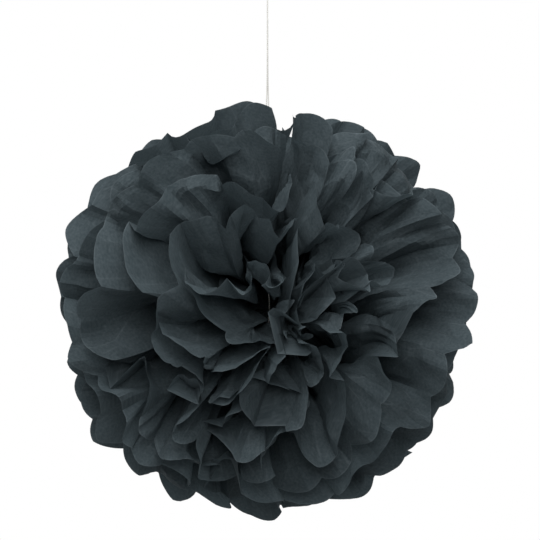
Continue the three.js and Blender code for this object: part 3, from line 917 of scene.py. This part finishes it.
def thread_material():
    """Off-white twisted thread."""
    material, nodes = new_material("string")
    place = nodes.add("ShaderNodeTexCoord", output="Object")
    slanted = nodes.add("ShaderNodeMapping", None, {"Vector": place, "Rotation": PLY_SLANT})
    plies = nodes.add(
        "ShaderNodeTexWave",
        {"bands_direction": "Z"},
        {"Vector": slanted, "Scale": PLY_SCALE, "Distortion": PLY_UNEVENNESS},
        output="Fac",
    )
    fuzz = nodes.add("ShaderNodeTexNoise", None, {"Vector": place, "Scale": FUZZ_SCALE})
    pale = plies * PLY_SHARE + fuzz * (1 - PLY_SHARE)
    height = plies + fuzz * FUZZ_RELIEF
    bump = nodes.add("ShaderNodeBump", None, {"Strength": 0.5, "Distance": THREAD_RELIEF, "Height": height})
    shader = nodes.add("ShaderNodeBsdfPrincipled", None, {
        "Base Color": mix_colour(nodes, pale, THREAD_SHADE, THREAD_COLOUR),
        "Roughness": fuzz * THREAD_ROUGHNESS[0] + THREAD_ROUGHNESS[1],
        "Normal": bump,
        "Sheen Weight": 0.2,
    })
    nodes.add("ShaderNodeOutputMaterial", None, {"Surface": shader})
    return material


# Studio
def make_camera():
    camera = bpy.data.cameras.new("camera")
    camera.sensor_width = SENSOR
    camera.lens = SENSOR * CAMERA_DISTANCE / (IMAGE_SIZE * PIXEL)
    view = put_in_scene("camera", camera)
    aim_x = (IMAGE_SIZE / 2 - BALL_PIXEL[0]) * PIXEL
    aim_z = BALL_CENTRE.z + (BALL_PIXEL[1] - IMAGE_SIZE / 2) * PIXEL
    view.location = (aim_x, -CAMERA_DISTANCE, aim_z)
    view.rotation_euler = (math.pi / 2, 0, 0)
    bpy.context.scene.camera = view


def make_lamp(name, place, power):
    """A round lamp that faces the ball's middle."""
    light = bpy.data.lights.new(name, "AREA")
    light.shape = "DISK"
    light.size = LAMP_SIZE
    light.energy = power
    lamp = put_in_scene(name, light)
    lamp.location = BALL_CENTRE + Vector(place)
    lamp.rotation_euler = Vector(place).to_track_quat("Z", "Y").to_euler()


def make_room():
    """A plain white room, lighter above, which the camera sees as white."""
    world = bpy.data.worlds.new("studio")
    world.use_nodes = True
    bpy.context.scene.world = world
    nodes = Nodes(world.node_tree)
    seen, mirrored, through = (nodes.add("ShaderNodeLightPath", output=ray) for ray in SEEN_RAYS)
    white = seen.larger(mirrored).larger(through)
    direction = nodes.add("ShaderNodeTexCoord", output="Generated")
    up = nodes.add("ShaderNodeSeparateXYZ", None, {0: direction}, output="Z")
    ends = {"To Min": ROOM_LIGHT[0], "To Max": ROOM_LIGHT[1]}
    room = nodes.add("ShaderNodeMapRange", None, {"Value": up, **ends})
    strength = room + white * (1 - room)
    light = nodes.add("ShaderNodeBackground", None, {"Color": WHITE, "Strength": strength})
    nodes.add("ShaderNodeOutputWorld", None, {"Surface": light})


def make_floor():
    """A round pale floor under the ball, which fades into the white room."""
    bpy.ops.mesh.primitive_circle_add(vertices=FLOOR_CORNERS, radius=FLOOR_RADIUS, fill_type="NGON")
    floor = bpy.context.object
    floor.name = "floor"
    floor.location = BALL_CENTRE - Vector((0, 0, FLOOR_DROP))
    material, nodes = new_material("floor")
    place = nodes.add("ShaderNodeTexCoord", output="Object")
    out = nodes.add("ShaderNodeVectorMath", {"operation": "LENGTH"}, {0: place}, output="Value")
    ends = {"From Min": FLOOR_FADES * FLOOR_RADIUS, "From Max": FLOOR_RADIUS}
    fade = nodes.add("ShaderNodeMapRange", {"interpolation_type": "SMOOTHSTEP"}, {"Value": out, **ends})
    pale = nodes.add("ShaderNodeBsdfDiffuse", None, {"Color": FLOOR_COLOUR})
    clear = nodes.add("ShaderNodeBsdfTransparent")
    shader = nodes.add("ShaderNodeMixShader", None, {0: fade, 1: pale, 2: clear})
    nodes.add("ShaderNodeOutputMaterial", None, {"Surface": shader})
    floor.data.materials.append(material)


bpy.context.scene.view_settings.view_transform = "Standard"
make_camera()
make_room()
make_floor()
make_lamp("key", KEY_PLACE, KEY_POWER)
make_lamp("fill", FILL_PLACE, FILL_POWER)

thread = thread_material()
make_string(thread)
cover_tie(thread)
make_sheets(tissue_material())
